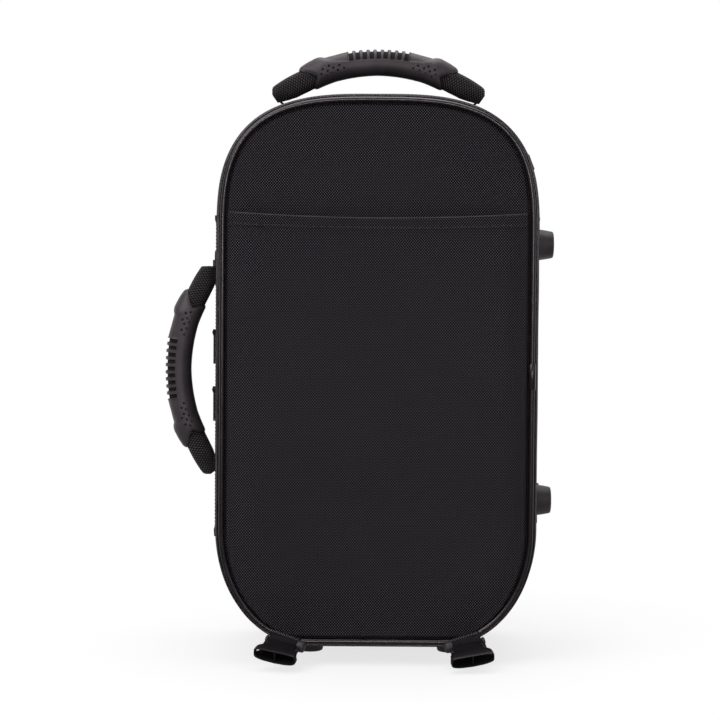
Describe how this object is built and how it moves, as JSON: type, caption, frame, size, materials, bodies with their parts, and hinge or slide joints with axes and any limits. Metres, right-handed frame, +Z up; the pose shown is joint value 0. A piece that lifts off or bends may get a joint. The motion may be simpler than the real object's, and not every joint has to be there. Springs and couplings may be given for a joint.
{
  "type": "cornet case",
  "caption": "Soft padded cornet case, zipped round, with a cloth-hinged lid, slip pocket, top and side carrying handles, rubber feet, strap rings and strap buckles.",
  "frame": {"origin": "bottom centre of the bounding box, on the floor under the feet", "axes": "+Z up to the top handle, the wearer's side with the slip pocket faces -Y, +X to the right as seen from that side, towards the side feet and the hinge"},
  "size_m": [0.32, 0.2078, 0.4999],
  "materials": {
    "nylon": "black woven nylon over foam",
    "pocket_nylon": "black woven nylon",
    "piping": "black vinyl covered cord, slightly shiny",
    "webbing": "black woven webbing",
    "zip_tape": "black woven tape",
    "zip_chain": "black coil",
    "rubber": "black moulded rubber",
    "plastic": "black moulded plastic",
    "metal": "black coated metal",
    "plush": "dark grey plush over foam"
  },
  "bodies": {
    "base": {"base_lining": "plush", "base_shell": "nylon", "base_zip_chain": "zip_chain", "base_zip_tape": "zip_tape", "bottom_foot_left": "rubber", "bottom_foot_right": "rubber", "bottom_foot_screw_left": "metal", "bottom_foot_screw_right": "metal", "buckle_tab_left": "webbing", "buckle_tab_right": "webbing", "cradle_left": "plush", "cradle_lower": "plush", "cradle_right": "plush", "cradle_slab": "plush", "cradle_upper": "plush", "hinge_tape_base": "webbing", "mouthpiece_holder": "plush", "piping_splice": "piping", "ring_tab_lower_right": "webbing", "ring_tab_upper_left": "webbing", "ring_tab_upper_right": "webbing", "side_foot_lower": "rubber", "side_foot_screw_lower": "metal", "side_foot_screw_upper": "metal", "side_foot_upper": "rubber", "side_handle_anchor_a": "webbing", "side_handle_anchor_b": "webbing", "side_strap_left": "webbing", "side_strap_right": "webbing", "slip_pocket": "pocket_nylon", "top_handle_anchor_a": "webbing", "top_handle_anchor_b": "webbing", "wearer_panel": "nylon", "wearer_piping": "piping"},
    "lid": {"lid_shell": "nylon", "lid_panel": "nylon", "lid_piping": "piping", "lid_zip_tape": "zip_tape", "lid_zip_chain": "zip_chain", "hinge_tape_lid": "webbing", "lid_lining": "plush"},
    "top_handle": {"top_handle_webbing": "webbing", "top_handle_grip": "rubber", "top_handle_tail_a": "webbing", "top_handle_tail_b": "webbing"},
    "side_handle": {"side_handle_webbing": "webbing", "side_handle_grip": "rubber", "side_handle_tail_a": "webbing", "side_handle_tail_b": "webbing"},
    "ring_upper_right": {"ring_upper_right": "metal"},
    "ring_lower_right": {"ring_lower_right": "metal"},
    "ring_upper_left": {"ring_upper_left": "metal"},
    "buckle_left": {"buckle_left": "plastic"},
    "buckle_right": {"buckle_right": "plastic"},
    "zip_slider_upper": {"zip_slider_upper": "metal"},
    "zip_slider_lower": {"zip_slider_lower": "metal"},
    "zip_pull_upper": {"zip_pull_upper": "metal"},
    "zip_pull_lower": {"zip_pull_lower": "metal"},
    "box_cover": {"box_cover": "plush", "box_cover_tab": "webbing"}
  },
  "joints": [
    {"name": "lid_hinge", "type": "hinge", "parent": "base", "child": "lid", "pos_m": [0.14747, 0.05336, 0.23685], "axis": [0, 0, -1], "range_deg": [0, 105]},
    {"name": "top_handle_fold", "type": "hinge", "parent": "base", "child": "top_handle", "pos_m": [0.01447, 0.00536, 0.45564], "axis": [1, 0, 0], "range_deg": [-40, 40]},
    {"name": "side_handle_fold", "type": "hinge", "parent": "base", "child": "side_handle", "pos_m": [-0.12122, 0.00536, 0.2357], "axis": [0, 0, 1], "range_deg": [-26, 26]},
    {"name": "ring_upper_right_swing", "type": "hinge", "parent": "base", "child": "ring_upper_right", "pos_m": [0.14126, 0.02686, 0.40955], "axis": [0.3618, 0, -0.9323], "range_deg": [0, 110]},
    {"name": "ring_lower_right_swing", "type": "hinge", "parent": "base", "child": "ring_lower_right", "pos_m": [0.14962, 0.02686, 0.1326], "axis": [0, 0, -1], "range_deg": [0, 95]},
    {"name": "ring_upper_left_swing", "type": "hinge", "parent": "base", "child": "ring_upper_left", "pos_m": [-0.12068, 0.02686, 0.3196], "axis": [0, 0, 1], "range_deg": [0, 70]},
    {"name": "buckle_left_swing", "type": "hinge", "parent": "base", "child": "buckle_left", "pos_m": [-0.05831, -0.07494, 0.02023], "axis": [-0.967, 0.2111, 0.1429], "range_deg": [-6, 75]},
    {"name": "buckle_right_swing", "type": "hinge", "parent": "base", "child": "buckle_right", "pos_m": [0.08725, -0.07494, 0.02023], "axis": [-0.9817, -0.126, -0.1429], "range_deg": [-6, 75]},
    {"name": "zip_slider_upper_run", "type": "slide", "parent": "base", "child": "zip_slider_upper", "axis": [0, 0, 1], "range_m": [-0.012, 0.065]},
    {"name": "zip_slider_lower_run", "type": "slide", "parent": "base", "child": "zip_slider_lower", "axis": [0, 0, 1], "range_m": [-0.07, 0]},
    {"name": "zip_pull_upper_swing", "type": "hinge", "parent": "zip_slider_upper", "child": "zip_pull_upper", "pos_m": [-0.12412, 0.05336, 0.2646], "axis": [0, 1, 0], "range_deg": [0, 150]},
    {"name": "zip_pull_lower_swing", "type": "hinge", "parent": "zip_slider_lower", "child": "zip_pull_lower", "pos_m": [-0.12412, 0.05336, 0.2156], "axis": [0, 1, 0], "range_deg": [0, 150]},
    {"name": "box_cover_hinge", "type": "hinge", "parent": "base", "child": "box_cover", "pos_m": [0.12447, 0.01776, 0.2321], "axis": [0, 0, -1], "range_deg": [0, 88]}
  ]
}
